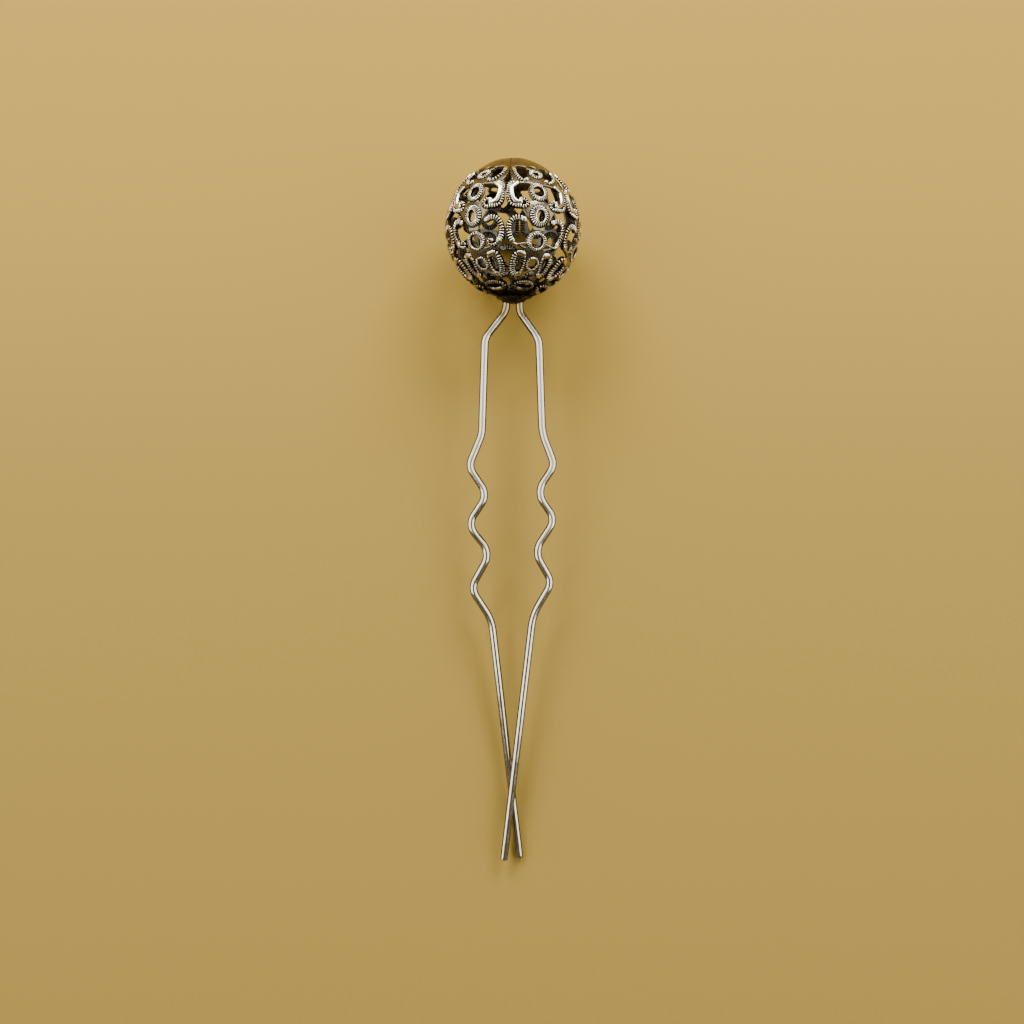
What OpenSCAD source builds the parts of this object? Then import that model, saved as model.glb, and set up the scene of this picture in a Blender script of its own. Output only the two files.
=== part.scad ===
// Hairpin: an openwork ball stamped from one sheet of metal, closed round a bent two-legged wire.
// It lies on its back as on a table: +Z is up, +Y runs from the tips to the ball.
// The origin is on the table, under the middle of the hairpin.

/* [Ball] */
// Diameter of the ball over its ribbed bands
ball_d = 20; // [18:0.5:22]
// Thickness of the stamped sheet
sheet = 0.4; // [0.3:0.05:0.5]
// Height of the ribbed bands above the sheet
relief = 0.25; // [0.15:0.05:0.35]
// Turn of the seam that faces up, from the middle of the pin
front_seam = -6; // [-10:0.5:0]
// Share of the half turn to the right of the front seam that its three petals take
right_share = 0.973; // [0.96:0.001:1.04]

/* [Pin] */
// Distance from the middle of the ball to the end of the longer leg
reach = 95.9; // [86:0.1:106]
// Thickness of the wire
wire_d = 1.15; // [1:0.05:1.2]
// Spacing of the two legs where they leave the solder under the ball
leg_spacing = 1.95; // [1.8:0.05:2]
// Width of the solder where it shows under the ball
solder_d = 3.3; // [3.2:0.1:3.6]
// Clearance between the solder and the ball's tips, and between the legs where they cross
gap = 0.08; // [0.05:0.01:0.1]

/* [Hidden] */

ball_r = ball_d / 2;
wire_r = wire_d / 2;
sheet_r = ball_r - relief;
inner_r = sheet_r - sheet;
// Webs are a little thinner than the sheet, so that they end inside the bands that they join
WEB_INSET = 0.1;
web_from = inner_r + WEB_INSET;
web_r = sheet_r - WEB_INSET;
// Petals that fold up into the ball on each side of the front seam
PETALS_EACH_SIDE = 3;

// The left tip lies on the table, so the pin slopes down to it from the middle of the ball.
slope = asin((ball_r - wire_r) / (reach - wire_r));
ball_y = (reach * cos(slope) - sheet_r) / 2;

// Bends of each leg: distance from the middle of the ball, offset from the middle of the pin, radius.
S = 0;
OFFSET = 1;
RADIUS = 2;
LEFT_BENDS = [
    [11.6, leg_spacing / 2, 2.8],
    [15.6, 4.15, 3],
    [29.8, 4.65, 5.2],
    [34.6, 6.65, 2.2],
    [38.9, 3.85, 2.4],
    [43.4, 6.85, 2.4],
    [47.7, 3.4, 2.9],
    [53.1, 6.4, 2.5],
    [58.0, 3.25, 7],
    [95.3, -1.0, 0],
];
RIGHT_BENDS = [
    [11.8, leg_spacing / 2, 2.2],
    [15.8, 3.85, 3.4],
    [29.6, 4.35, 8.2],
    [34.4, 6.2, 2.2],
    [38.5, 3.5, 2.9],
    [42.6, 6.35, 2.3],
    [47.4, 3.2, 3],
    [52.1, 5.9, 2.4],
    [57.1, 3.0, 9],
    [95.2, -1.4, 0],
];
// The reach and ball radius that the two tables above are written for
TABLE_REACH = 95.9;
TABLE_R = 10;

// The petal's pattern is given in degrees of arc: U to the side of the petal's middle, V up from the equator.
// Rings on the middle of a petal: height, hole, rim.
RING_V = 0;
RING_HOLE = 1;
RING_RIM = 2;
RINGS = [
    [42, 2, 5.8],
    [22.8, 4.6, 8.8],
    [2.3, 4, 9],
    [-17.2, 4.9, 8.2],
    [-36.3, 4, 6.6],
];

// The sides of a wide ring lean in by this many degrees, and one with a rim under the next value has a ridge.
RING_SLANT = 0.8;
RIDGE_RIM = 7;

// Scrolls, mirrored on both sides: middle U and V, half width, half height, first and last angle, band width.
SCROLL_U = 0;
SCROLL_V = 1;
HALF_W = 2;
HALF_H = 3;
FROM = 4;
TO = 5;
BAND = 6;
SCROLLS = [
    [10.5, 44, 6.8, 9.3, -140, 125, 3.2],
    [18, 20.5, 9.3, 9.3, -125, 75, 3.4],
    [18.5, -9.3, 9, 9.9, -118, 125, 3.4],
    [15, -35.3, 7, 9.2, -180, 180, 4],
];
// The wide loop at the foot of a petal, written like a scroll but drawn once
FOOT_LOOP = [0, -59.5, 10.8, 4.7, -180, 180, 3.4];

// Flat webs of sheet that join the bands, mirrored on both sides: two ends as U and V, and width.
WEBS = [
    [[20.5, 30.5], [13, 34.5], 4],
    [[12.4, 12.6], [10.7, 0.8], 5],
    [[15, -18.9], [6.4, -17.8], 2.5],
    [[14, -25.5], [3.5, -25.2], 4],
    [[13, -43], [6.5, -54.5], 4],
    [[14.5, 50], [12.2, 59], 3],
    [[12.4, 58], [8.8, 68], 3],
];
// Webs on the middle of a petal, from ring to ring: two heights and the width.
LINKS = [
    [29, 38, 9],
    [9, 16, 9],
    [-5, -11, 5],
    [-23.5, -31, 8],
];

// The mirror image is lower than the scroll itself by this many degrees, as the stamp has left it.
SCROLL_STEP = 0.4;
// Profile of a scroll's band: corners as a share of its half width, and distance from the middle of the ball.
SCROLL_PROFILE = [[-1, inner_r + 0.06], [1, inner_r + 0.06], [0, ball_r]];

// Where the petals join the cap above, and the ring that their tips form below
cap_v = 66;
cap_hole_v = 84;
tip_ring_v = -73;
tip_hole_v = -82;

function mirrored(row) = [for (side = [-1, 1]) [for (k = [0:len(row) - 1])
    k == SCROLL_U ? side * row[k] : k == SCROLL_V ? row[k] + side * SCROLL_STEP / 2 : row[k]]];

// A point of the ball, from its petal's U and V and the distance from the middle; the ball's own axis is Y.
function on_ball(p, r, squeeze) =
    let (turn = turn_of(p, squeeze))
    r * [cos(p[1]) * sin(turn), sin(p[1]), cos(p[1]) * cos(turn)];

function turn_of(p, squeeze) = p[0] * squeeze / cos(p[1]);

function unit(v) = v / norm(v);

// Points of an elliptical stroke, turned to the seam on the side that its U lies on.
function stroke(u, v, half_w, half_h, from, to, steps) =
    [for (i = [0:steps]) let (t = from + (to - from) * i / steps)
        [u + sign_of(u) * half_w * cos(t), v + half_h * sin(t)]];

function sign_of(x) = x < 0 ? -1 : 1;

// A raised ring round Z, between two angles at the middle of the ball
module ring(hole, rim) {
    ridge = rim < RIDGE_RIM;
    top = ridge ? [(hole + rim) / 2] : [rim - RING_SLANT, hole + RING_SLANT];
    angles = concat([hole, rim], top);
    rotate_extrude($fn = ridge ? 8 : 10)
        polygon([for (k = [0:len(angles) - 1]) (k < 2 ? inner_r : ball_r) * [sin(angles[k]), cos(angles[k])]]);
}

// A raised band along a line of points in U and V
module band(path, width, closed, squeeze) {
    n = len(path);
    m = len(SCROLL_PROFILE);
    corners = [for (i = [0:n - 1])
        let (
            before = path[closed ? (i + n - 1) % n : max(i - 1, 0)],
            after = path[closed ? (i + 1) % n : min(i + 1, n - 1)],
            along = unit(after - before),
            side = [along[1], -along[0]] * width / 2
        )
        for (corner = SCROLL_PROFILE) on_ball(path[i] + side * corner[0], corner[1], squeeze)];
    sides = [for (i = [0:closed ? n - 1 : n - 2], k = [0:m - 1])
        let (next_i = (i + 1) % n, next_k = (k + 1) % m)
        [m * i + next_k, m * next_i + next_k, m * next_i + k, m * i + k]];
    ends = closed ? [] : [[for (k = [m - 1:-1:0]) k], [for (k = [0:m - 1]) m * (n - 1) + k]];
    polyhedron(corners, concat(sides, ends));
}

// A band along a scroll's row, closed where it goes all the way round
module raised_scroll(row, steps, squeeze) {
    whole = row[TO] - row[FROM] == 360;
    line = stroke(row[SCROLL_U], row[SCROLL_V], row[HALF_W], row[HALF_H], row[FROM], row[TO], steps);
    path = whole ? [for (i = [0:steps - 1]) line[i]] : line;
    band(path, row[BAND], whole, squeeze);
}

module petal(squeeze) {
    for (row = RINGS)
        at_point([0, row[RING_V]], squeeze)
            ring(row[RING_HOLE], row[RING_RIM]);
    for (row = SCROLLS, scroll = mirrored(row))
        raised_scroll(scroll, scroll[TO] - scroll[FROM] == 360 ? 8 : 6, squeeze);
    raised_scroll(FOOT_LOOP, 12, squeeze);
    for (row = WEBS, side = [-1, 1])
        web([side * row[0][0], row[0][1]], [side * row[1][0], row[1][1]], row[2], squeeze);
    for (row = LINKS)
        web([0, row[0]], [0, row[1]], row[2], squeeze);
    // The root under the cap, and the tip that runs into the ring below
    hull() {
        plate([-6, -65.5], 0.8, squeeze);
        plate([6, -65.5], 0.8, squeeze);
        plate([0, tip_ring_v - 4], 1.2, squeeze);
    }
    hull() {
        plate([0, 58], 1, squeeze);
        plate([0, cap_v + 2], 2.4, squeeze);
    }
}

// The frame of a point on a petal: Z points out of the ball and Y to its top.
module at_point(p, squeeze) {
    rotate([0, turn_of(p, squeeze), 0])
        rotate([-p[1], 0, 0])
            children();
}

// A flat strip of the sheet between two points of a petal
module web(a, b, width, squeeze) {
    degree = web_r * PI / 180;
    middle = (a + b) / 2;
    along = [(turn_of(b, squeeze) - turn_of(a, squeeze)) * cos(middle[1]), b[1] - a[1]];
    at_point(middle, squeeze)
        rotate([0, 0, -atan2(along[0], along[1])])
            translate([0, 0, (web_from + web_r) / 2])
                cube([width * degree, norm(along) * degree, web_r - web_from], center = true);
}

// A small square plate of the sheet
module plate(p, d, squeeze) {
    at_point(p, squeeze)
        translate([0, 0, web_from])
            cylinder(h = web_r - web_from, d = d, $fn = 4);
}

// A dished disc or ring round the ball's axis, between two heights
module dish(v0, v1, from_r, to_r, steps) {
    heights = [for (i = [0:steps]) v0 + (v1 - v0) * i / steps];
    rotate([-90, 0, 0])
        rotate_extrude($fn = 18)
            polygon(concat(
                [for (v = heights) [from_r * cos(v), from_r * sin(v)]],
                [for (i = [steps:-1:0]) [to_r * cos(heights[i]), to_r * sin(heights[i])]]));
}

module filigree_ball() {
    color("silver")
        at_ball() {
            for (side = [-1, 1], i = [0:PETALS_EACH_SIDE - 1]) {
                share = side > 0 ? right_share : 2 - right_share;
                pitch = 180 / PETALS_EACH_SIDE * share;
                rotate([0, front_seam + side * (i + 0.5) * pitch, 0])
                    petal(share);
            }
            dish(cap_v, cap_hole_v, inner_r + 0.03, sheet_r, 2);
            dish(tip_ring_v, tip_hole_v, inner_r + 0.03, sheet_r, 1);
        }
}

// The frame of the ball: its middle is the origin, and its axis, tipped by the slope of the pin, is Y.
module at_ball() {
    translate([0, ball_y, ball_r])
        rotate([slope, 0, 0])
            children();
}

function stretched(rows) = [for (row = rows)
    [ball_r + (row[S] - TABLE_R) * (reach - ball_r) / (TABLE_REACH - TABLE_R), row[OFFSET], row[RADIUS]]];

function flat(row) = [row[S], row[OFFSET]];

function heading(a, b) = atan2(b[OFFSET] - a[OFFSET], b[S] - a[S]);

function turn_at(rows, i) = heading(rows[i], rows[i + 1]) - heading(rows[i - 1], rows[i]);

// How far a bend's arc starts before its corner and ends after it
function cut_back(rows, i) =
    i == 0 || i == len(rows) - 1 ? 0 : rows[i][RADIUS] * tan(abs(turn_at(rows, i)) / 2);

function offset_at(rows, s) =
    let (a = rows[len(rows) - 2], b = rows[len(rows) - 1])
    a[OFFSET] + (b[OFFSET] - a[OFFSET]) * (s - a[S]) / (b[S] - a[S]);

// Stations along one leg, in a flat frame with S along X and the offset along Y: place, heading and radius.
// Each bend is an arc between the tangent points on its two straight sides.
function bend_stations(rows, i) =
    let (
        before = heading(rows[i - 1], rows[i]),
        turn = turn_at(rows, i),
        way = turn < 0 ? -1 : 1,
        start = flat(rows[i]) - [cos(before), sin(before)] * cut_back(rows, i),
        middle = start + [-sin(before), cos(before)] * way * rows[i][RADIUS],
        steps = ceil(abs(turn) / 13)
    )
    [for (k = [0:steps]) let (h = before + turn * k / steps)
        [middle + [sin(h), -cos(h)] * way * rows[i][RADIUS], h, wire_r]];

function dome_stations(end, h) = [for (a = [25, 50, 70, 84])
    [end + [cos(h), sin(h)] * wire_r * sin(a), h, wire_r * cos(a)]];

function leg_stations(rows, domed) =
    let (
        last = len(rows) - 1,
        first_h = heading(rows[0], rows[1]),
        last_h = heading(rows[last - 1], rows[last])
    )
    concat(
        [[flat(rows[0]), first_h, wire_r]],
        [for (i = [1:last - 1]) each bend_stations(rows, i)],
        [[flat(rows[last]), last_h, wire_r]],
        domed ? dome_stations(flat(rows[last]), last_h) : []
    );

// A round tube through its stations, square to the heading at each
module tube(stations, sides) {
    n = len(stations);
    corners = [for (station = stations, k = [0:sides - 1])
        let (a = 360 * k / sides, across = station[2] * cos(a), h = station[1])
        [station[0][0] - across * sin(h), station[0][1] + across * cos(h), station[2] * sin(a)]];
    walls = [for (i = [0:n - 2], k = [0:sides - 1])
        let (next_k = (k + 1) % sides)
        [sides * i + k, sides * (i + 1) + k, sides * (i + 1) + next_k, sides * i + next_k]];
    ends = [[for (k = [0:sides - 1]) k], [for (k = [sides - 1:-1:0]) sides * (n - 1) + k]];
    polyhedron(corners, concat(walls, ends));
}

module leg(rows, side, lift, domed) {
    start = ball_r - 0.05;
    bent = concat([[start, leg_spacing / 2, 0]], stretched(rows));
    mirror([side < 0 ? 1 : 0, 0, 0])
        translate([0, -start, 0])
            rotate([lift, 0, 0])
                translate([0, start, 0])
                    rotate([0, 0, -90])
                        tube(leg_stations(bent, domed), 12);
}

// Solder that has run through the hole in the ball's tips and set on both sides of them
module solder() {
    hole_r = inner_r * cos(tip_hole_v);
    waist_r = hole_r - gap;
    button_r = solder_d / 2;
    button_s = sqrt(pow(inner_r, 2) - pow(button_r, 2)) - gap;
    flange_s = sqrt(pow(sheet_r, 2) - pow(hole_r, 2)) + gap;
    rotate([90, 0, 0])
        rotate_extrude($fn = 64)
            polygon([
                [0, button_s - 0.5],
                [button_r - 0.3, button_s - 0.5],
                [button_r, button_s - 0.2],
                [button_r, button_s],
                [waist_r, button_s],
                [waist_r, flange_s],
                [button_r, flange_s],
                [button_r, flange_s + 0.3],
                [button_r - 0.35, flange_s + 0.65],
                [0, flange_s + 0.75]
            ]);
}

module pin_wire() {
    left = stretched(LEFT_BENDS);
    right = stretched(RIGHT_BENDS);
    both_near = offset_at(left, ball_r) + offset_at(right, ball_r);
    both_far = offset_at(left, reach) + offset_at(right, reach);
    cross_s = ball_r + (reach - ball_r) * both_near / (both_near - both_far);
    lift = asin((wire_d + gap) / (cross_s - ball_r));
    color("gainsboro")
        at_ball() {
            solder();
            leg(LEFT_BENDS, -1, 0, true);
            leg(RIGHT_BENDS, 1, -lift, false);
        }
}

filigree_ball();
pin_wire();
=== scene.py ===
"""Looks of the openwork hairpin: six stamped petals, solder and a bent bright wire on a tan table."""
import math

import bpy
import numpy as np
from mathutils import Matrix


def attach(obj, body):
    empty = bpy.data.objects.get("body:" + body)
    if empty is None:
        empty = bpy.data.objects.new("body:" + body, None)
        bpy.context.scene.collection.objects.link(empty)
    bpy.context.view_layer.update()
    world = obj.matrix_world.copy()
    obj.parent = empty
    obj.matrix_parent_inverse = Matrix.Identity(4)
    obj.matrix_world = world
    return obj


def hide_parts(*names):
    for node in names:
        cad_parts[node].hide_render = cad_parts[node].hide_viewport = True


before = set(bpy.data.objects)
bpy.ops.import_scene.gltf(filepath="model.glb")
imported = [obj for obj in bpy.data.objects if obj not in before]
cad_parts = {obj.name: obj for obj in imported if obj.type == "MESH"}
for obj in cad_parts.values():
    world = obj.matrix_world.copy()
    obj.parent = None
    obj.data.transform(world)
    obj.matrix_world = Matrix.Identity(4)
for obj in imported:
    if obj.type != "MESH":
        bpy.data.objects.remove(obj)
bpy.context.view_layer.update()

MM = 0.001
DEG = math.pi / 180

# Sizes of the ball and the pin in millimetres, as in the part's source
BALL_R = 10.0
SHEET = 0.4
RELIEF = 0.25
SHEET_R = BALL_R - RELIEF
WIRE_R = 0.575
REACH = 95.9
LEG_SPACING = 1.95
SOLDER_D = 3.3
# Radius to which the solder has run over the ends of the petals
COLLAR_R = 2.7
GAP = 0.08
SLOPE = math.asin((BALL_R - WIRE_R) / (REACH - WIRE_R))
BALL_Y = (REACH * math.cos(SLOPE) - SHEET_R) / 2

# The front seam's turn, half the gap that is left between two petals, the twist of the ball's top, and the lean
# of the pattern to the back and to the right, in degrees
FRONT_SEAM = -6.5
SEAM_GAP = 0.6
TWIST = 2.6
LEAN_BACK = 2.8
LEAN_RIGHT = 1.5
# How far the cap stands out over the round of the ball, in millimetres
CAP_SWELL = 0.28
# The rounded edge of the sheet: its width in degrees of arc, and how far it drops in millimetres
EDGE_WIDTH = 0.8
EDGE_DROP = 0.1
# One step of the grid that a petal is cut from, in degrees of arc
GRID = 0.34
# Half the width of a petal at the equator, the height of its two ends, and the heights above and below which it
# is joined to its neighbours
HALF_PETAL = 30
CAP_V = 84.0
TIP_V = -82.0
JOINED_ABOVE = 47.0
JOINED_BELOW = -78.0
# The hole in the cap above a topmost ring: V of its middle, its half width and half height
CAP_HOLE = (52.7, 3.4, 2.2)

# A petal's pattern in degrees of arc: U to the side of its middle, V up from the equator.
# Rings on its middle: V, U of the hole, its half width and half height, outer half width and half height, ribs
RINGS = [
    (42.0, 0.0, 2.5, 2.2, 6.2, 5.8, 20),
    (23.3, 0.0, 4.3, 4.5, 8.1, 8.8, 24),
    (2.8, 1.0, 3.5, 4.6, 9.1, 9.2, 25),
    (-17.8, 0.0, 5.6, 5.2, 10.0, 7.6, 26),
    (-36.5, 0.0, 4.3, 4.3, 7.2, 6.2, 20),
]
# Bands beside the middle, mirrored: a line of U, V points, the band's width, and 1 where it has ribs
BANDS = [
    ([(16.6, 48.5), (17.0, 46.5), (17.2, 43.0), (16.9, 40.5), (16.0, 38.2), (14.6, 36.0), (12.6, 34.2),
      (10.4, 33.8), (8.4, 35.2)], 3.4, 1),
    ([(17.0, 30.6), (19.8, 28.6), (22.0, 26.6), (22.7, 23.0), (22.8, 18.6), (21.8, 14.8), (19.6, 13.2),
      (16.5, 12.9)], 4.0, 0),
    ([(19.0, 31.0), (22.4, 29.6), (24.9, 26.8), (26.1, 22.0), (26.6, 16.5), (25.6, 12.4), (23.0, 10.3),
      (20.0, 9.6), (17.0, 9.6), (14.0, 9.2), (11.6, 10.2), (10.7, 12.6), (12.0, 15.0), (14.6, 15.8), (16.4, 15.0)],
     3.5, 1),
    ([(13.6, -1.2), (16.8, 0.2), (20.4, 0.2), (23.6, -1.2), (25.9, -4.2), (26.6, -8.2), (26.0, -12.5),
      (24.6, -15.8), (22.8, -18.0)], 5.0, 1),
    ([(11.0, -28.6), (15.0, -27.6), (18.0, -29.0), (19.2, -32.6), (19.2, -37.8), (17.6, -43.4), (14.4, -46.8),
      (10.6, -46.4)], 5.0, 1),
    ([(9.4, -30.6), (8.9, -34.0), (8.9, -39.0), (9.4, -43.4)], 2.2, 1),
]
# How the third band ends: in a curl on the petals left of the front seam, in a thin strip on the others
CURL = ([(24.2, -17.4), (22.4, -18.8), (19.4, -20.4), (16.8, -21.0), (14.2, -20.6), (13.1, -18.8), (14.0, -17.0),
         (15.8, -16.6), (17.4, -17.6)], 2.6, 1)
STRIP = ([(24.2, -17.4), (22.6, -19.3), (19.4, -20.4), (16.0, -20.2), (12.6, -19.6), (9.6, -19.0)], 1.8, 0)
# The wide loop at the foot of a petal
FOOT = ([(10.8 * math.cos(k * math.pi / 8), -59.5 + 4.7 * math.sin(k * math.pi / 8)) for k in range(16)], 3.6, 1)
# Smooth webs of sheet between the bands, mirrored: two ends and the width
WEBS = [
    ((0.0, 36.0), (6.0, 36.6), 4.0),
    ((7.0, 32.6), (16.0, 31.6), 2.6),
    ((24.0, 30.4), (16.5, 31.6), 2.8),
    ((17.0, 33.0), (21.5, 32.4), 3.4),
    ((18.6, 46.0), (19.0, 36.0), 5.0),
    ((0.0, 33.5), (8.0, 33.5), 5.0),
    ((0.0, 13.0), (9.5, 12.4), 4.2),
    ((9.4, 12.0), (9.4, 5.0), 4.0),
    ((13.0, 8.0), (9.4, 2.4), 4.6),
    ((9.4, 0.8), (3.2, -6.6), 3.0),
    ((0.0, -7.0), (4.0, -7.4), 4.0),
    ((0.0, -26.4), (8.5, -25.6), 5.6),
    ((8.0, -24.6), (17.4, -21.4), 2.0),
    ((0.0, -29.5), (8.0, -29.5), 4.0),
    ((7.0, -29.6), (8.0, -42.0), 1.6),
    ((12.5, -46.5), (6.4, -55.0), 4.0),
    ((9.4, -43.2), (4.8, -43.2), 3.0),
    ((20.0, 46.0), (16.0, 54.0), 4.6),
    ((0.0, 48.6), (4.4, 50.0), 2.6),
    ((4.6, 50.0), (4.6, 54.0), 1.8),
    ((8.0, -65.4), (0.0, -69.0), 5.0),
    ((0.0, -66.0), (0.0, -80.0), 11.0),
]
# Spots of the petal where the stamp has left no ribs: U, V and radius
BARE = [(13.5, -25.5, 5.0), (0.0, -28.5, 4.5), (17.5, 30.0, 4.5), (13.6, -0.9, 3.0), (0.0, -64.5, 9.0),
        (18.0, 49.0, 5.0), (11.0, -47.5, 4.0)]
# Distance between two ribs along a band, and width of sheet left outside a ring's ribs, in degrees
RIB_PITCH = 2.05
FLANGE = 0.7
# How much of its width a petal's tip loses, as a share
TIP_CUT = 0.3


def smooth(t):
    """A step from 0 to 1 that starts and ends flat: 3 t squared less 2 t cubed."""
    t = np.clip(t, 0, 1)
    return t * t * (3 - 2 * t)


def rounded(points, step=0.25):
    """A line of points made round: a cubic through each four neighbours, sampled about every step degrees."""
    closed = points is FOOT[0]
    p = np.array(points, float)
    if closed:
        around = np.vstack([p[-1], p, p[:2]])
    else:
        around = np.vstack([2 * p[0] - p[1], p, 2 * p[-1] - p[-2]])
    a, b, c, d = around[:-3], around[1:-2], around[2:-1], around[3:]
    t = np.linspace(0, 1, 12, endpoint=False)[None, :, None]
    a, b, c, d = (x[:, None, :] for x in (a, b, c, d))
    line = 0.5 * (2 * b + (c - a) * t + (2 * a - 5 * b + 4 * c - d) * t ** 2 + (3 * b - a - 3 * c + d) * t ** 3)
    line = np.vstack([line.reshape(-1, 2), p[:1] if closed else p[-1:]])
    s = np.concatenate([[0], np.cumsum(np.linalg.norm(np.diff(line, axis=0), axis=1))])
    even = np.linspace(0, s[-1], int(s[-1] / step) + 1)
    return np.column_stack([np.interp(even, s, line[:, k]) for k in (0, 1)]), even


def beside(line, length, u, v):
    """Distance of each point from the nearest of a line's points, and how far along the line that one is. The line
    is taken in blocks, so that the table of distances stays small."""
    block = 40
    best = np.full(u.shape, 1e9)
    near = np.zeros(u.shape, int)
    for first in range(0, len(line), block):
        part = line[first:first + block]
        away = np.hypot(u[:, None] - part[None, :, 0], v[:, None] - part[None, :, 1])
        k = away.argmin(axis=1)
        d = away[np.arange(len(u)), k]
        closer = d < best
        best = np.where(closer, d, best)
        near = np.where(closer, k + first, near)
    return best, length[near]


def ribbing(t, turn, ribbed):
    """Height of a ribbed band and the grime in its grooves: a dome across it, t from -1 to 1, cut by grooves that
    run out at its edges. Where ribbed is 0 only the dome is left."""
    dome = np.clip(1 - np.abs(t) ** 2.6, 0, 1) ** 0.6
    groove = (0.5 + 0.5 * np.cos(turn)) ** 1.2 * ribbed
    return dome * (1 - 0.9 * groove), smooth(2.3 * groove - 0.45)


def pattern(u, v, tail):
    """The petal's cut-out, its relief and its grime at each U, V. The first is a distance in degrees, below 0 in
    the metal: the least of the distances to the rings, bands and webs, joined by small fillets. The second is 0 on
    the plain sheet and 1 on the crest of a rib. The third is 1 in the grooves and beside the bands."""
    au = np.abs(u)
    cut = np.full(u.shape, 99.0)
    height = np.zeros(u.shape)
    grime = np.zeros(u.shape)
    holes = np.full(u.shape, -99.0)

    def add(d, fillet=0.9):
        """Adds metal where the distance d is below 0, with a fillet where it meets what is there."""
        nonlocal cut
        h = np.clip(fillet - np.abs(cut - d), 0, None) / fillet
        cut = np.minimum(cut, d) - h * h * fillet * 0.25

    for (u0, v0), (u1, v1), width in WEBS:
        along = np.array([u1 - u0, v1 - v0])
        t = np.clip(((au - u0) * along[0] + (v - v0) * along[1]) / (along @ along), 0, 1)
        add(np.hypot(au - u0 - t * along[0], v - v0 - t * along[1]) - width / 2)
    ribbed = np.ones(u.shape)
    for u0, v0, radius in BARE:
        ribbed *= smooth(np.hypot(au - u0, v - v0) / radius * 2 - 1)

    def stamp(t, turn, share):
        """Raises a ribbed band where t lies between -1 and 1, with grime in its grooves and beside it."""
        nonlocal height, grime
        rise, dirt = ribbing(t, turn, share)
        on = np.abs(t) < 1
        higher = on & (rise * (1 + dirt) > height)
        nearby = np.where(on, 0, 0.8 * smooth(1 - (np.abs(t) - 1) * 3))
        grime = np.where(higher, dirt, np.maximum(grime, nearby))
        height = np.where(on, np.maximum(height, rise), height)

    for points, width, ribs in BANDS + [tail, FOOT]:
        line, length = rounded(points)
        d, s = beside(line, length, u if points is FOOT[0] else au, v)
        add(d - width / 2)
        turn = 2 * np.pi * s / length[-1] * round(length[-1] / RIB_PITCH)
        ends = 1 if points is FOOT[0] else smooth(s / 3.0) * smooth((length[-1] - s) / 3.0)
        stamp(d / (width / 2), turn, ribbed * ends * ribs)
    for v0, hole_u, hole_w, hole_h, rim_w, rim_h, ribs in RINGS:
        a = np.arctan2((v - v0) / rim_h, u / rim_w)
        b = np.arctan2((v - v0) / hole_h, (u - hole_u) / hole_w)
        hole = np.hypot(u - hole_u, v - v0) - np.hypot(hole_w * np.cos(b), hole_h * np.sin(b))
        rim = np.hypot(rim_w * np.cos(a), rim_h * np.sin(a)) - np.hypot(u, v - v0)
        add(-rim - FLANGE)
        holes = np.maximum(holes, -hole)
        # The lip round the hole is smooth
        t = 2 * hole / (hole + rim) - 1
        stamp(t, ribs * a, ribbed * smooth((t + 0.75) / 0.35))
    # The cap is whole but for one hole above each topmost ring. Its edge lies at V 50.2 over the ring, rises by 3.3
    # beside it and falls back towards the seams. The tips end in a narrow ring.
    cap_edge = 50.2 + 3.3 * smooth((au - 3.0) / 2.5) - 3.5 * smooth((au - 14.0) / 3.0)
    add(cap_edge - v, 1.2)
    add(v - JOINED_BELOW + 1.0, 2.0)
    hole_v, hole_w, hole_h = CAP_HOLE
    holes = np.maximum(holes, 1.6 * (1 - np.hypot(u / hole_w, (v - hole_v) / hole_h)))
    cut = np.maximum(cut, holes)
    # The petal ends half a gap before its seams, but not where it is joined, and its tip is narrower still
    apart = smooth((JOINED_ABOVE - v) / 1.5 + 0.5) * smooth((v - JOINED_BELOW) / 1.5 + 0.5)
    tip = TIP_CUT * smooth((-66.0 - v) / 4) * smooth((v - JOINED_BELOW) / 2)
    seam = au - HALF_PETAL * np.cos(v * DEG) * (1 - tip) + apart * SEAM_GAP
    cut = np.maximum(cut, seam)
    return cut, height, grime


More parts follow.
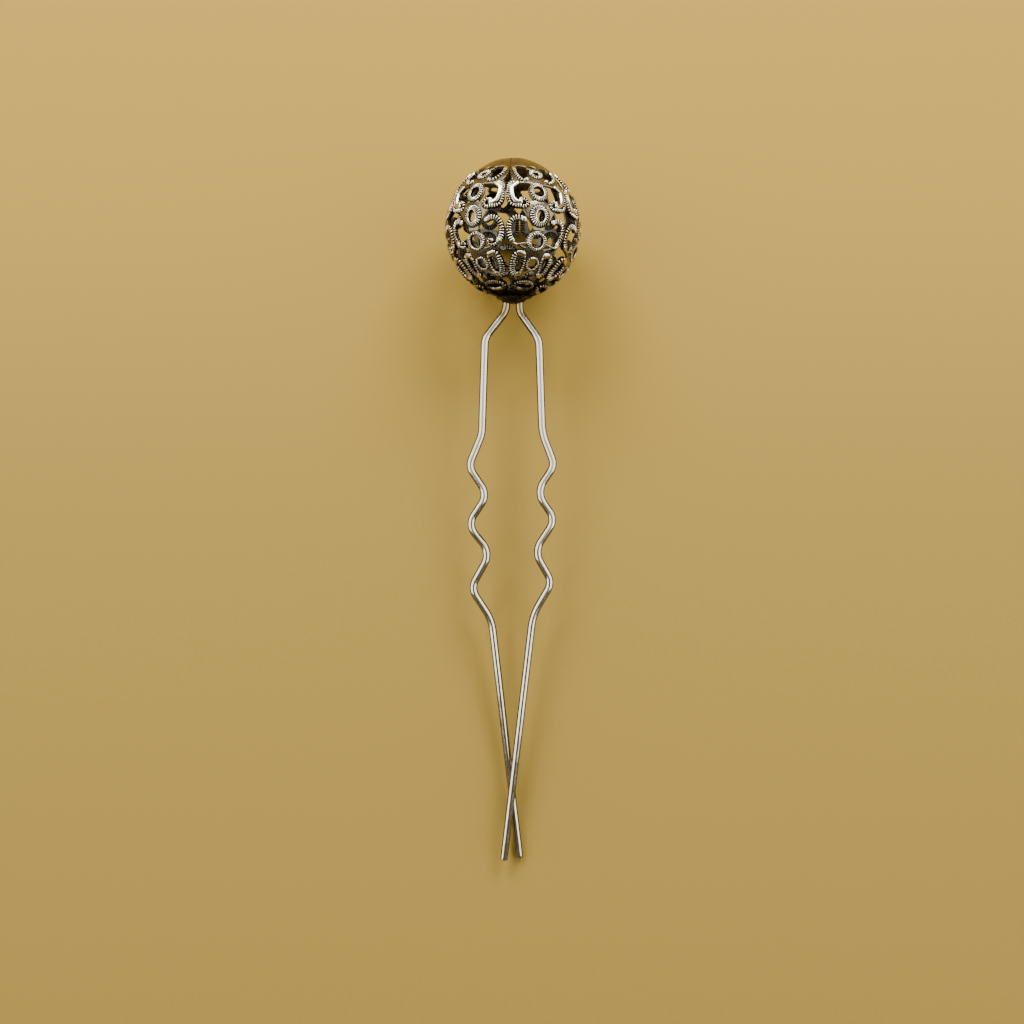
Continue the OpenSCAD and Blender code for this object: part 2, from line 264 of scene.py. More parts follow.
def petal_grid(tail):
    """Vertices of one petal on a U, V grid, kept where the metal is and moved onto the cut at the edges. Gives U, V,
    distance to the cut, relief, grime, faces, and the edges round the openings in the order of the faces."""
    rows = int((CAP_V - TIP_V) / GRID) + 1
    v = np.linspace(TIP_V, CAP_V, rows)
    across = 2 * int(HALF_PETAL / GRID) + 1
    share = np.linspace(-1, 1, across)
    # Across the petal the grid is even in U, and the first column past a seam is moved onto it
    vv, ss = np.meshgrid(v, share, indexing="ij")
    uu = ss * HALF_PETAL
    limit = HALF_PETAL * np.cos(vv * DEG)
    out = np.abs(uu) > limit
    first_out = out & (np.abs(uu) - 2 * HALF_PETAL / (across - 1) <= limit)
    uu = np.where(first_out, np.sign(uu) * limit, uu)
    usable = ~out | first_out
    # A square is kept where the cut's mean over its corners lies in the metal
    cut = pattern(uu.ravel(), vv.ravel(), tail)[0].reshape(uu.shape)
    mid = (cut[:-1, :-1] + cut[1:, :-1] + cut[:-1, 1:] + cut[1:, 1:]) / 4
    keep = (mid < 0) & usable[:-1, :-1] & usable[1:, :-1] & usable[:-1, 1:] & usable[1:, 1:]
    # Two squares that meet at a corner only are joined by a third, so that no wall is shared by four squares
    for _ in range(4):
        a, b, c, d = keep[:-1, :-1], keep[1:, 1:], keep[1:, :-1], keep[:-1, 1:]
        first = a & b & ~c & ~d
        second = c & d & ~a & ~b
        keep[1:, :-1] |= first
        keep[:-1, :-1] |= second
    i, j = np.nonzero(keep)
    corner = i * across + j
    quads = np.column_stack([corner, corner + 1, corner + across + 1, corner + across])
    used, quads = np.unique(quads, return_inverse=True)
    quads = quads.reshape(-1, 4)
    u, v = uu.ravel()[used], vv.ravel()[used]
    # An edge that only one square has is on the rim of an opening
    edges = np.concatenate([quads[:, [k, (k + 1) % 4]] for k in range(4)])
    key = np.sort(edges, axis=1)
    _, back, count = np.unique(key, axis=0, return_inverse=True, return_counts=True)
    rim = edges[count[back.ravel()] == 1]
    on_rim = np.unique(rim)
    ends = (v[on_rim] < TIP_V + 0.01) | (v[on_rim] > CAP_V - 0.01)
    loose = on_rim[~ends]
    # Three steps down the slope of the cut bring the rim's points to where it is 0, the ends of the petal apart
    for _ in range(3):
        pu, pv, e = u[loose], v[loose], 0.05
        here = pattern(pu, pv, tail)[0]
        gu = (pattern(pu + e, pv, tail)[0] - pattern(pu - e, pv, tail)[0]) / (2 * e)
        gv = (pattern(pu, pv + e, tail)[0] - pattern(pu, pv - e, tail)[0]) / (2 * e)
        pull = np.clip(-here, -GRID * 0.7, GRID * 0.7) / np.maximum(gu ** 2 + gv ** 2, 0.25)
        u[loose] = pu + pull * gu
        v[loose] = pv + pull * gv
    return (u, v, *pattern(u, v, tail), quads, rim)


def narrowing(v):
    """How far the far seam of a front petal has drawn in at height v, in degrees of turn: 3.9 at the equator and
    0.15 more for each degree below it, from 0 to 13."""
    return np.clip(3.9 - 0.15 * v, 0, 13)


def turned(u, v, index, side):
    """Turn about the ball's axis of a point of petal index, counted from the front seam to one side: 60 degrees a
    petal, plus U over the cosine of V. The front petals are squeezed below, as pressed in the making, and the ones
    behind take up the room evenly. The top of the ball is twisted a little against the rest."""
    a = 2 * HALF_PETAL * index + HALF_PETAL + u / np.cos(v * DEG)
    # Share of the narrowing at each turn: all of it at the front petal's far seam, none at the back seam
    inside = np.clip(a, 0, 60) / 60
    draw = np.where(a < 60, inside ** 1.6, (180 - a) / 120)
    return FRONT_SEAM + TWIST * smooth((v - 28) / 18) + side * (a - narrowing(v) * draw)


def leaning(turn, v):
    """Height in degrees of a point of the ball, whose pattern leans against the pin's axis: lower at the back and
    at the right than its height at the front says, and true at the two ends."""
    fall = LEAN_BACK * (np.cos(turn * DEG) - 1) - LEAN_RIGHT * np.sin(turn * DEG)
    return v + fall * smooth((v - TIP_V) / 16) * smooth((CAP_V - v) / 16)


def on_ball(turn, v, r):
    """A point of the ball from its turn and height in degrees and its radius, in the frame of the hairpin."""
    x = r * np.cos(v * DEG) * np.sin(turn * DEG)
    y = r * np.sin(v * DEG)
    z = r * np.cos(v * DEG) * np.cos(turn * DEG)
    return tipped(x, y, z)


def tipped(x, y, z):
    """From the ball's own frame, axis along Y, to the hairpin's: tipped by the slope of the pin and lifted."""
    c, s = math.cos(SLOPE), math.sin(SLOPE)
    return np.column_stack([x, y * c - z * s + BALL_Y, y * s + z * c + BALL_R]) * MM


def mesh_piece(name, points, faces, material, stands_for, sharp=None, values=None):
    """Makes an object of points and arrays of faces, smooth but for its sharp edges, and ties it to the part."""
    mesh = bpy.data.meshes.new(name)
    corners = np.concatenate([np.asarray(part).ravel() for part in faces]).astype(np.int32)
    sides = np.concatenate([np.full(len(part), part.shape[1]) for part in faces])
    mesh.vertices.add(len(points))
    mesh.vertices.foreach_set("co", np.ascontiguousarray(points, dtype=np.float32).ravel())
    mesh.loops.add(len(corners))
    mesh.loops.foreach_set("vertex_index", corners)
    mesh.polygons.add(len(sides))
    mesh.polygons.foreach_set("loop_start", (np.cumsum(sides) - sides).astype(np.int32))
    mesh.update(calc_edges=True)
    mesh.polygons.foreach_set("use_smooth", np.ones(len(sides), bool))
    if sharp is not None:
        ends = np.zeros(len(mesh.edges) * 2, np.int32)
        mesh.edges.foreach_get("vertices", ends)
        ends = np.sort(ends.reshape(-1, 2), axis=1).astype(np.int64)
        wanted = np.sort(sharp, axis=1).astype(np.int64)
        many = len(points)
        hard = np.isin(ends[:, 0] * many + ends[:, 1], wanted[:, 0] * many + wanted[:, 1])
        layer = mesh.attributes.new("sharp_edge", "BOOLEAN", "EDGE")
        layer.data.foreach_set("value", hard)
    for key, value in (values or {}).items():
        layer = mesh.attributes.new(key, "FLOAT", "POINT")
        layer.data.foreach_set("value", np.ascontiguousarray(value, dtype=np.float32))
    mesh.validate()
    mesh.materials.append(material)
    piece = bpy.data.objects.new(name, mesh)
    bpy.context.scene.collection.objects.link(piece)
    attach(piece, "root")
    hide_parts(stands_for)


def petal(grid, index, side, material):
    """One stamped petal as a closed solid: an outer face with its relief, an inner face that follows it by half,
    and walls round every opening. Beside an opening the outer face drops away in a quarter of a circle."""
    u, v, cut, height, grime, quads, rim = grid
    n = len(u)
    turn = turned(u, v, index, side)
    v = leaning(turn, v)
    edge = np.clip(-cut / EDGE_WIDTH, 0, 1)
    rounding = EDGE_DROP * (1 - np.sqrt(np.clip(1 - (1 - edge) ** 2, 0, 1)))
    # The cap begins to stand out at V 52 and does so fully above V 78
    sheet = SHEET_R + CAP_SWELL * smooth((v - 52) / 26)
    outer = sheet + RELIEF * height - rounding
    inner = sheet - SHEET + 0.5 * RELIEF * height
    points = np.vstack([on_ball(turn, v, outer), on_ball(turn, v, inner)])
    walls = np.column_stack([rim[:, 1], rim[:, 0], rim[:, 0] + n, rim[:, 1] + n])
    faces = np.vstack([quads, quads[:, ::-1] + n, walls])
    if side < 0:
        faces = faces[:, ::-1]
    # Each value is given for the outer face and then for the inner one, which is grimy all over
    values = {
        "crest": np.concatenate([height, height]),
        "grime": np.concatenate([grime, 0.3 + 0.7 * grime]),
        "inside": np.concatenate([np.zeros(n), np.ones(n)]),
        "height": np.concatenate([v, v]) / 90,
    }
    number = index + 1 if side > 0 else 6 - index
    mesh_piece("filigree_petal_%d" % number, points, [faces], material, "filigree_ball",
               np.vstack([rim, rim + n]), values)


# Bends of each leg: distance from the middle of the ball, offset from the middle of the pin, radius
LEFT_BENDS = [
    (11.6, LEG_SPACING / 2, 2.8), (15.6, 4.15, 3), (29.8, 4.65, 5.2), (34.6, 6.65, 2.2), (38.9, 3.85, 2.4),
    (43.4, 6.85, 2.4), (47.7, 3.4, 2.9), (53.1, 6.4, 2.5), (58.0, 3.25, 7), (95.3, -1.0, 0),
]
RIGHT_BENDS = [
    (11.8, LEG_SPACING / 2, 2.2), (15.8, 3.85, 3.4), (29.6, 4.35, 8.2), (34.4, 6.2, 2.2), (38.5, 3.5, 2.9),
    (42.6, 6.35, 2.3), (47.4, 3.2, 3), (52.1, 5.9, 2.4), (57.1, 3.0, 9), (95.2, -1.4, 0),
]


# Distance from the middle of the ball at which the legs begin, in the solder
LEG_START = BALL_R - 0.05
# Sides of the wire's round and of the solder's, and points along one bend of a leg
WIRE_SIDES = 28
SOLDER_SIDES = 72
BEND_POINTS = 24


def leg_line(bends, step=0.3):
    """The middle line of a leg in a flat frame, distance and offset: straight runs joined by arcs, evenly sampled.
    An arc of radius r that turns by t starts r tan(t / 2) before the corner of the two runs."""
    rows = [(LEG_START, LEG_SPACING / 2, 0)] + bends
    p = np.array(rows)[:, :2]
    way = np.arctan2(np.diff(p[:, 1]), np.diff(p[:, 0]))
    line = [p[0]]
    for k in range(1, len(p) - 1):
        turn = way[k] - way[k - 1]
        r = rows[k][2]
        back = r * math.tan(abs(turn) / 2)
        start = p[k] - back * np.array([math.cos(way[k - 1]), math.sin(way[k - 1])])
        sign = 1 if turn > 0 else -1
        middle = start + sign * r * np.array([-math.sin(way[k - 1]), math.cos(way[k - 1])])
        h = way[k - 1] + turn * np.linspace(0, 1, BEND_POINTS)
        line += list(middle + sign * r * np.column_stack([np.sin(h), -np.cos(h)]))
    line = np.vstack(line + [p[-1]])
    s = np.concatenate([[0], np.cumsum(np.linalg.norm(np.diff(line, axis=0), axis=1))])
    even = np.linspace(0, s[-1], int(s[-1] / step) + 1)
    return np.column_stack([np.interp(even, s, line[:, k]) for k in (0, 1)]), even


def leg(bends, side, lift, domed):
    """A round wire carried along the leg's line: a circle square to it at every step, its radius a little uneven.
    The end is a dome, or a cut whose rim is rounded by a fifth of the radius."""
    line, s = leg_line(bends)
    way = np.gradient(line, axis=0)
    way /= np.linalg.norm(way, axis=1)[:, None]
    radius = WIRE_R * (1 + 0.004 * np.sin(s * 1.9 + side) + 0.004 * np.sin(s * 0.83))
    a = np.linspace(0, 90, 9)[1:] * DEG
    if domed:
        close_r, close_s = radius[-1] * np.cos(a), radius[-1] * np.sin(a)
    else:
        bevel = 0.2 * WIRE_R
        close_r = np.append(radius[-1] - bevel * (1 - np.cos(a)), 0)
        close_s = np.append(bevel * np.sin(a), bevel)
    line = np.vstack([line, line[-1] + close_s[:, None] * way[-1]])
    way = np.vstack([way, np.repeat(way[-1:], len(close_s), axis=0)])
    radius = np.append(radius, np.maximum(close_r, 0.002))
    sides = WIRE_SIDES
    k = np.arange(sides) * 2 * np.pi / sides
    across = np.column_stack([-way[:, 1], way[:, 0]])
    flat = line[:, None, :] + radius[:, None, None] * np.cos(k)[None, :, None] * across[:, None, :]
    up = radius[:, None] * np.sin(k)[None, :]
    x = side * flat[..., 1]
    y = -flat[..., 0]
    # The right leg is lifted about the place where both leave the ball, so that it passes over the left one
    start = -LEG_START
    c, sn = math.cos(lift), math.sin(lift)
    y, z = start + (y - start) * c - up * sn, (y - start) * sn + up * c
    points = tipped(x.ravel(), y.ravel(), z.ravel())
    n = len(line)
    ring = np.arange(n - 1)[:, None] * sides
    j = np.arange(sides)[None, :]
    nxt = (j + 1) % sides
    faces = np.stack([ring + j, ring + sides + j, ring + sides + nxt, ring + nxt], axis=-1).reshape(-1, 4)
    first = np.mean(points[:sides], axis=0)
    last = np.mean(points[-sides:], axis=0)
    m = len(points)
    points = np.vstack([points, first, last])
    j = np.arange(sides)
    nxt = (j + 1) % sides
    caps = np.vstack([
        np.column_stack([j, nxt, np.full(sides, m)]),
        np.column_stack([m - sides + nxt, m - sides + j, np.full(sides, m + 1)]),
    ])
    along = np.append(np.repeat(np.append(s, s[-1] + close_s), sides), [0, s[-1]])
    # Painted shade on the flanks and the underside of the wire: 1 there, 0 on the top
    flank_shade = np.append(np.tile(smooth((0.8 - np.sin(k)) / 0.22), n), [1, 1])
    parts = [faces, caps]
    if side < 0:
        parts = [part[:, ::-1] for part in parts]
    return points, parts, {"along": along / s[-1], "flank_shade": flank_shade}


def crossing_lift():
    """The angle that lifts the right leg clear over the left one where they cross: its sine is the wire's
    thickness and the gap, over the distance from the ball's foot to the crossing."""
    def offset_at(bends, s):
        """Offset at distance s of a leg's last straight run, or of the line that goes on from it."""
        (s0, o0, _), (s1, o1, _) = bends[-2:]
        return o0 + (o1 - o0) * (s - s0) / (s1 - s0)

    near = offset_at(LEFT_BENDS, BALL_R) + offset_at(RIGHT_BENDS, BALL_R)
    far = offset_at(LEFT_BENDS, REACH) + offset_at(RIGHT_BENDS, REACH)
    cross = BALL_R + (REACH - BALL_R) * near / (near - far)
    return math.asin((2 * WIRE_R + GAP) / (cross - BALL_R))


def solder():
    """The lump that holds the pin in the ball's tips: a profile of radius and distance turned about the pin,
    whose radius swells and dips a little with the angle, as solder that has run."""
    hole_r = (SHEET_R - SHEET) * math.cos(TIP_V * DEG)
    waist_r = hole_r - GAP
    button_r = SOLDER_D / 2
    button_s = math.sqrt((SHEET_R - SHEET) ** 2 - button_r ** 2) - GAP
    flange_s = math.sqrt(SHEET_R ** 2 - hole_r ** 2) + GAP
    collar_s = math.sqrt((SHEET_R + RELIEF) ** 2 - COLLAR_R ** 2)
    # From inside the ball outwards: a button, the neck through the ring of the tips, the collar over the tips, and
    # the lump in which the legs end
    profile = np.array([
        (0.0, button_s - 0.5), (0.7, button_s - 0.5), (button_r - 0.3, button_s - 0.48), (button_r, button_s - 0.2),
        (button_r - 0.06, button_s), (waist_r, button_s), (waist_r, flange_s), (COLLAR_R - 0.3, collar_s + 0.03),
        (COLLAR_R - 0.05, collar_s), (COLLAR_R, collar_s + 0.08), (COLLAR_R - 0.15, collar_s + 0.18),
        (2.15, flange_s + 0.15), (1.75, flange_s + 0.38), (1.62, flange_s + 0.58), (1.45, flange_s + 0.74),
        (0.9, flange_s + 0.82), (0.45, flange_s + 0.84), (0.0, flange_s + 0.85)])
    corners = np.arange(len(profile))
    t = np.linspace(0, corners[-1], 5 * corners[-1] + 1)
    r = np.interp(t, corners, profile[:, 0])[:, None]
    s = np.interp(t, corners, profile[:, 1])[:, None]
    sides = SOLDER_SIDES
    a = (np.arange(sides) * 2 * np.pi / sides)[None, :]
    lumps = 0.05 * np.sin(3 * a + 2.1 * s) + 0.04 * np.sin(7 * a - 3 * s) + 0.025 * np.sin(11 * a + 5 * s)
    outside = smooth((s - flange_s + 0.3) / 0.15) * smooth((r - waist_r) / 0.2)
    r = r * (1 - outside * (0.03 - lumps))
    s = s + outside * 0.04 * np.sin(2 * a + 0.8) * (1 - r / button_r)
    points = tipped((r * np.cos(a)).ravel(), -s.ravel(), (r * np.sin(a)).ravel())
    i = np.arange(1, len(t) - 2)[:, None] * sides
    j = np.arange(sides)[None, :]
    nxt = (j + 1) % sides
    quads = np.stack([i + j, i + nxt, i + sides + nxt, i + sides + j], axis=-1).reshape(-1, 4)
    j = j.ravel()
    nxt = nxt.ravel()
    end = (len(t) - 1) * sides
    caps = np.vstack([np.column_stack([np.zeros(sides, int), sides + nxt, sides + j]),
                      np.column_stack([np.full(sides, end), end - sides + j, end - sides + nxt])])
    used, packed = np.unique(np.concatenate([quads.ravel(), caps.ravel()]), return_inverse=True)
    packed = packed.ravel()
    return points[used], [packed[:quads.size].reshape(-1, 4), packed[quads.size:].reshape(-1, 3)]


def put(tree, kind, inputs=None, **settings):
    """Adds a shader node; an input is given as a number, a colour or another node's output."""
    node = tree.nodes.new(kind)
    for key, value in settings.items():
        setattr(node, key, value)
    for key, value in (inputs or {}).items():
        if isinstance(value, bpy.types.NodeSocket):
            tree.links.new(value, node.inputs[key])
        else:
            node.inputs[key].default_value = value
    return node


def math_node(tree, operation, a, b=0.0):
    """One step of arithmetic on a and b, or on a alone where the operation takes one value."""
    return put(tree, "ShaderNodeMath", {0: a, 1: b}, operation=operation).outputs[0]


def blend_colours(tree, factor, a, b):
    """The colour a where the factor is 0 and b where it is 1, mixed in between."""
    node = put(tree, "ShaderNodeMix", {"Factor": factor}, data_type="RGBA")
    for socket, value in zip([x for x in node.inputs if x.type == "RGBA"], (a, b)):
        if isinstance(value, bpy.types.NodeSocket):
            tree.links.new(value, socket)
        else:
            socket.default_value = value
    return [x for x in node.outputs if x.type == "RGBA"][0]


def ramp(tree, value, low, high):
    """A smooth step of value from 0 at low to 1 at high."""
    node = put(tree, "ShaderNodeMapRange", {"Value": value, "From Min": low, "From Max": high},
               interpolation_type="SMOOTHSTEP")
    return node.outputs["Result"]


def new_group(name, inputs, outputs):
    """An empty node group with named inputs and outputs, and the sockets that are used inside it."""
    tree = bpy.data.node_groups.new(name, "ShaderNodeTree")
    for key, kind in inputs.items():
        tree.interface.new_socket(name=key, in_out="INPUT", socket_type="NodeSocket" + kind)
    for key, kind in outputs.items():
        tree.interface.new_socket(name=key, in_out="OUTPUT", socket_type="NodeSocket" + kind)
    return tree, tree.nodes.new("NodeGroupInput").outputs, tree.nodes.new("NodeGroupOutput").inputs


def tarnish_group():
    """Clouds of brown and black tarnish that gather in the recesses, as a mask from 0 to 1: a step on the sum of
    coarse noise, fine noise, the amount and the recess."""
    tree, given, out = new_group("tarnish_clouds", {"Place": "Vector", "Scale": "Float", "Recess": "Float",
                                                    "Amount": "Float"}, {"Mask": "Float"})
    clouds = put(tree, "ShaderNodeTexNoise", {"Vector": given["Place"], "Scale": given["Scale"], "Detail": 5.0,
                                             "Roughness": 0.62})
    fine_scale = math_node(tree, "MULTIPLY", given["Scale"], 5.3)
    fine = put(tree, "ShaderNodeTexNoise", {"Vector": given["Place"], "Scale": fine_scale, "Detail": 3.0})
    mixed = math_node(tree, "ADD", math_node(tree, "MULTIPLY", clouds.outputs["Fac"], 0.7),
                      math_node(tree, "MULTIPLY", fine.outputs["Fac"], 0.3))
    base = math_node(tree, "ADD", mixed, math_node(tree, "SUBTRACT", given["Amount"], 0.75))
    full = math_node(tree, "ADD", base, math_node(tree, "MULTIPLY", given["Recess"], 0.8))
    tree.links.new(ramp(tree, full, 0.2, 0.75), out["Mask"])
    return tree


def wear_group():
    """Fine scratches and dents of handled metal. The height for the bump is the sum of a stretched fine noise and
    a coarse one, and the haze, which roughens the metal, is a step on the fine one."""
    tree, given, out = new_group("handling_wear", {"Place": "Vector", "Scale": "Float", "Stretch": "Vector"},
                                 {"Height": "Float", "Haze": "Float"})
    stretched = put(tree, "ShaderNodeVectorMath", {0: given["Place"], 1: given["Stretch"]}, operation="MULTIPLY")
    scratch = put(tree, "ShaderNodeTexNoise", {"Vector": stretched.outputs[0], "Scale": given["Scale"],
                                              "Detail": 4.0, "Roughness": 0.7})
    dent_scale = math_node(tree, "MULTIPLY", given["Scale"], 0.3)
    dents = put(tree, "ShaderNodeTexNoise", {"Vector": given["Place"], "Scale": dent_scale, "Detail": 2.0})
    total = math_node(tree, "ADD", math_node(tree, "MULTIPLY", scratch.outputs["Fac"], 0.45),
                      math_node(tree, "MULTIPLY", dents.outputs["Fac"], 0.55))
    tree.links.new(total, out["Height"])
    tree.links.new(ramp(tree, scratch.outputs["Fac"], 0.35, 0.7), out["Haze"])
    return tree


TARNISH = tarnish_group()
WEAR = wear_group()

# Colours of the silver, the wire, the solder and the table, as linear red, green, blue and opacity
SILVER = (0.56, 0.52, 0.42, 1)
# The darker silver of the inside of the ball is painted shade
SILVER_INSIDE_SHADE = (0.3, 0.29, 0.25, 1)
SILVER_OLIVE = (0.105, 0.082, 0.032, 1)
SILVER_BROWN = (0.13, 0.09, 0.034, 1)
SILVER_BLACK = (0.008, 0.006, 0.004, 1)
WIRE_BRIGHT = (0.7, 0.68, 0.6, 1)
WIRE_HEATED = (0.32, 0.24, 0.13, 1)
# The dark colour of the wire's flanks and underside is painted shade
WIRE_FLANK_SHADE = (0.08, 0.055, 0.022, 1)
SOLDER_BROWN = (0.12, 0.07, 0.03, 1)
SOLDER_BLACK = (0.012, 0.008, 0.005, 1)
# The table's two colours are painted light and shade: darker near the ball, lighter towards +Y
FLOOR_NEAR_SHADED = (0.255, 0.169, 0.03, 1)
FLOOR_FAR_LIT = (0.315, 0.199, 0.028, 1)
FLOOR_GRAIN = (0.30, 0.21, 0.10, 1)


def new_material(name):
    """An empty material, its node tree, its shader and the place of each point in its object."""
    material = bpy.data.materials.new(name)
    material.use_nodes = True
    tree = material.node_tree
    shader = tree.nodes["Principled BSDF"]
    place = tree.nodes.new("ShaderNodeTexCoord").outputs["Object"]
    return material, tree, shader, place


def group(tree, which, inputs):
    """Adds one of the shared node groups and gives its outputs."""
    return put(tree, "ShaderNodeGroup", inputs, node_tree=which).outputs


def attribute(tree, name):
    """A value that the mesh carries at each of its points."""
    return put(tree, "ShaderNodeAttribute", attribute_name=name).outputs["Fac"]


def bump(tree, shader, height, distance, strength):
    """Tilts the shading by a height from 0 to 1 that stands for a distance in metres."""
    node = put(tree, "ShaderNodeBump", {"Height": height, "Distance": distance, "Strength": strength})
    tree.links.new(node.outputs["Normal"], shader.inputs["Normal"])


def antique_silver():
    """Worn silver: bright on the bands, olive on the plain sheet, with clouds of brown on both, and black in the
    grooves, inside the ball and at its foot. Painted shade makes the silver inside the ball darker, with tarnish
    on top, and makes the plain sheet darker away from the ball's equator."""
    material, tree, shader, place = new_material("antique_silver")
    crest = attribute(tree, "crest")
    grime = attribute(tree, "grime")
    inside = attribute(tree, "inside")
    height = attribute(tree, "height")
    foot = ramp(tree, math_node(tree, "MULTIPLY", height, -1.0), 0.5, 0.75)
    # Painted shade: a mask that is 1 away from the ball's equator, where the silver is made darker
    off_equator_shade = ramp(tree, math_node(tree, "ABSOLUTE", height), 0.24, 0.5)
    sheet = math_node(tree, "MULTIPLY", ramp(tree, math_node(tree, "SUBTRACT", 1.0, crest), 0.35, 0.9),
                      math_node(tree, "SUBTRACT", 1.0, inside))
    amount = math_node(tree, "ADD", 0.32, math_node(tree, "MULTIPLY", foot, 0.3))
    # Painted shade: more tarnish away from the ball's equator
    amount = math_node(tree, "ADD", amount, math_node(tree, "MULTIPLY", off_equator_shade, 0.1))
    amount = math_node(tree, "ADD", amount, math_node(tree, "MULTIPLY", sheet, 0.22))
    amount = math_node(tree, "ADD", amount, math_node(tree, "MULTIPLY", inside, 0.06))
    tarnish = group(tree, TARNISH, {"Place": place, "Scale": 420.0, "Recess": grime, "Amount": amount})
    wear = group(tree, WEAR, {"Place": place, "Scale": 2600.0, "Stretch": (1.0, 1.0, 1.0)})
    # Painted shade: the inner face takes the darker silver
    plain = blend_colours(tree, inside, SILVER, SILVER_INSIDE_SHADE)
    # The plain sheet has gone olive, since a cloth reaches the bands only; away from the ball's equator it is
    # painted darker still, as painted shade where the highlights fall less
    share = math_node(tree, "ADD", math_node(tree, "MULTIPLY", off_equator_shade, 0.2), 0.75)
    olive = math_node(tree, "MULTIPLY", sheet, share)
    plain = blend_colours(tree, olive, plain, SILVER_OLIVE)
    warm = blend_colours(tree, tarnish["Mask"], plain, SILVER_BROWN)
    dark = ramp(tree, tarnish["Mask"], 0.4, 0.85)
    tree.links.new(blend_colours(tree, dark, warm, SILVER_BLACK), shader.inputs["Base Color"])
    shader.inputs["Metallic"].default_value = 1.0
    rough = math_node(tree, "ADD", 0.16, math_node(tree, "MULTIPLY", tarnish["Mask"], 0.42))
    rough = math_node(tree, "ADD", rough, math_node(tree, "MULTIPLY", inside, 0.15))
    rough = math_node(tree, "ADD", rough, math_node(tree, "MULTIPLY", wear["Haze"], 0.08))
    tree.links.new(rough, shader.inputs["Roughness"])
    bump(tree, shader, wear["Height"], 0.00006, 0.7)
    return material


def bright_wire():
    """Polished wire: nearly white metal with hair scratches, with painted shade on its flanks and underside, and
    with a brown haze where it was heated near the ball."""
    material, tree, shader, place = new_material("bright_wire")
    along = attribute(tree, "along")
    near = ramp(tree, math_node(tree, "SUBTRACT", 0.06, along), 0.0, 0.05)
    tarnish = group(tree, TARNISH, {"Place": place, "Scale": 260.0, "Recess": near, "Amount": 0.3})
    wear = group(tree, WEAR, {"Place": place, "Scale": 1500.0, "Stretch": (1.0, 0.25, 1.0)})
    tint = blend_colours(tree, tarnish["Mask"], WIRE_BRIGHT, WIRE_HEATED)
    # Painted shade darkens the wire's flanks and underside
    flank_shade = math_node(tree, "MULTIPLY", attribute(tree, "flank_shade"), 0.95)
    tree.links.new(blend_colours(tree, flank_shade, tint, WIRE_FLANK_SHADE), shader.inputs["Base Color"])
    shader.inputs["Metallic"].default_value = 1.0
    rough = math_node(tree, "ADD", 0.1, math_node(tree, "MULTIPLY", wear["Haze"], 0.08))
    tree.links.new(rough, shader.inputs["Roughness"])
    bump(tree, shader, wear["Height"], 0.00002, 0.25)
    return material


def old_solder():
    """Solder burnt dark: a rough metal, brown with black clouds."""
    material, tree, shader, place = new_material("old_solder")
    tarnish = group(tree, TARNISH, {"Place": place, "Scale": 700.0, "Recess": 0.8, "Amount": 0.5})
    wear = group(tree, WEAR, {"Place": place, "Scale": 2200.0, "Stretch": (1.0, 1.0, 1.0)})
    tint = blend_colours(tree, tarnish["Mask"], SOLDER_BROWN, SOLDER_BLACK)
    tree.links.new(tint, shader.inputs["Base Color"])
    shader.inputs["Metallic"].default_value = 0.8
    rough = math_node(tree, "ADD", 0.38, math_node(tree, "MULTIPLY", wear["Haze"], 0.2))
    tree.links.new(rough, shader.inputs["Roughness"])
    bump(tree, shader, wear["Height"], 0.0001, 0.6)
    return material


def tan_card():
    """The table: matt tan card with painted light, a little lighter from the ball on towards +Y, with a faint fine
    grain.
    """
    material, tree, shader, place = new_material("tan_card")
    y = put(tree, "ShaderNodeSeparateXYZ", {"Vector": place}).outputs["Y"]
    # Painted light: the card's colour grows lighter towards +Y
    far = ramp(tree, y, -0.005, 0.06)
    grain = put(tree, "ShaderNodeTexNoise", {"Vector": place, "Scale": 1400.0, "Detail": 3.0})
    tint = blend_colours(tree, far, FLOOR_NEAR_SHADED, FLOOR_FAR_LIT)
    speck = math_node(tree, "MULTIPLY", ramp(tree, grain.outputs["Fac"], 0.3, 0.7), 0.06)
    tree.links.new(blend_colours(tree, speck, tint, FLOOR_GRAIN), shader.inputs["Base Color"])
    shader.inputs["Roughness"].default_value = 0.85
    shader.inputs["Specular IOR Level"].default_value = 0.2
    bump(tree, shader, grain.outputs["Fac"], 0.00002, 0.2)
    return material


silver = antique_silver()
for side, tail in ((1, STRIP), (-1, CURL)):
    grid = petal_grid(tail)
    for index in range(3):
        petal(grid, index, side, silver)

wire = bright_wire()
for name, bends, side, lift, domed in (("left_leg", LEFT_BENDS, -1, 0.0, True),
                                       ("right_leg", RIGHT_BENDS, 1, -crossing_lift(), False)):
    points, faces, values = leg(bends, side, lift, domed)
    mesh_piece(name, points, faces, wire, "pin_wire", values=values)
points, faces = solder()
mesh_piece("solder", points, faces, old_solder(), "pin_wire")

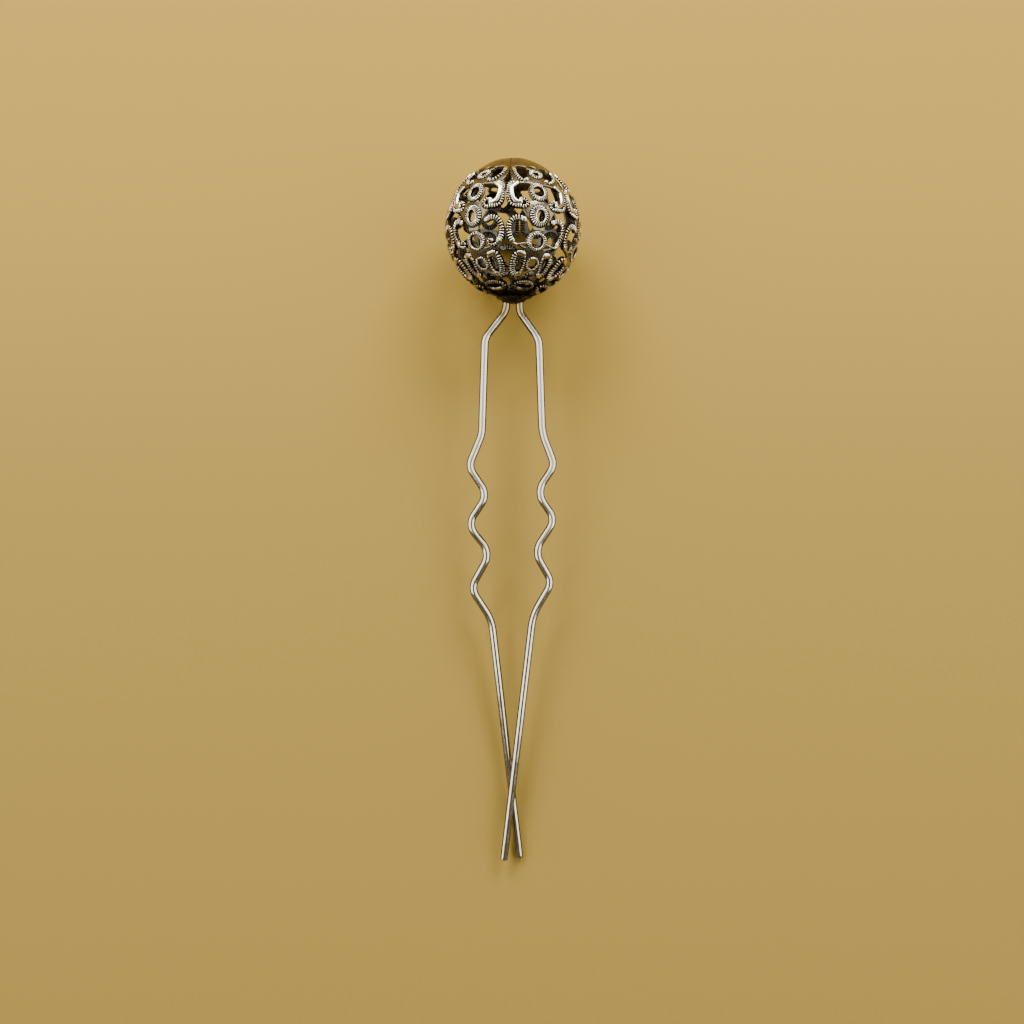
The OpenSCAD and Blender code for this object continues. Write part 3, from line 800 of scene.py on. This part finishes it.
FLOOR_SIZE = 1.6
mesh = bpy.data.meshes.new("table")
half = FLOOR_SIZE / 2
mesh.from_pydata([(-half, -half, 0), (half, -half, 0), (half, half, 0), (-half, half, 0)], [], [(0, 1, 2, 3)])
floor = bpy.data.objects.new("table", mesh)
mesh.materials.append(tan_card())
bpy.context.scene.collection.objects.link(floor)


def panel(name, azimuth, off_zenith, distance, width, height, power, colour):
    """A soft light that faces the hairpin from an azimuth, counted from +X towards +Y, and an angle off zenith."""
    light = bpy.data.lights.new(name, "AREA")
    light.shape = "RECTANGLE"
    light.size, light.size_y = width, height
    light.energy = power
    light.color = colour
    lamp = bpy.data.objects.new(name, light)
    a, z = azimuth * DEG, off_zenith * DEG
    lamp.location = (distance * math.sin(z) * math.cos(a), distance * math.sin(z) * math.sin(a),
                     distance * math.cos(z))
    lamp.rotation_euler = (z, 0, a + math.pi / 2)
    bpy.context.scene.collection.objects.link(lamp)


DAYLIGHT = (1.0, 0.98, 0.94)
LAMPLIGHT = (1.0, 0.97, 0.92)
panel("left_window", 178, 55, 0.7, 0.75, 0.74, 4.8, DAYLIGHT)
panel("right_window", 0, 55, 0.7, 0.75, 0.74, 4.8, DAYLIGHT)
panel("ceiling", -90, 2, 0.8, 0.6, 0.2, 0.35, DAYLIGHT)
panel("left_lamp", 115, 56, 0.55, 0.28, 0.2, 4.5, LAMPLIGHT)
panel("right_lamp", 65, 56, 0.55, 0.28, 0.2, 4.5, LAMPLIGHT)

ROOM_COLOUR = (0.5, 0.41, 0.24, 1)
ROOM_STRENGTH = 0.26
world = bpy.data.worlds.new("dim_room")
world.use_nodes = True
background = world.node_tree.nodes["Background"]
background.inputs["Color"].default_value = ROOM_COLOUR
background.inputs["Strength"].default_value = ROOM_STRENGTH
bpy.context.scene.world = world

# The camera looks straight down from where the photo's outlines fall on those of the hairpin, in millimetres
CAMERA_PLACE = (-0.15, 1.57, 156.5)
camera = bpy.data.cameras.new("camera")
camera.lens = 35.156
camera.sensor_width = 36.0
camera.clip_start = 0.01
camera.dof.use_dof = False
eye = bpy.data.objects.new("camera", camera)
eye.location = [value * MM for value in CAMERA_PLACE]
bpy.context.scene.collection.objects.link(eye)
bpy.context.scene.camera = eye
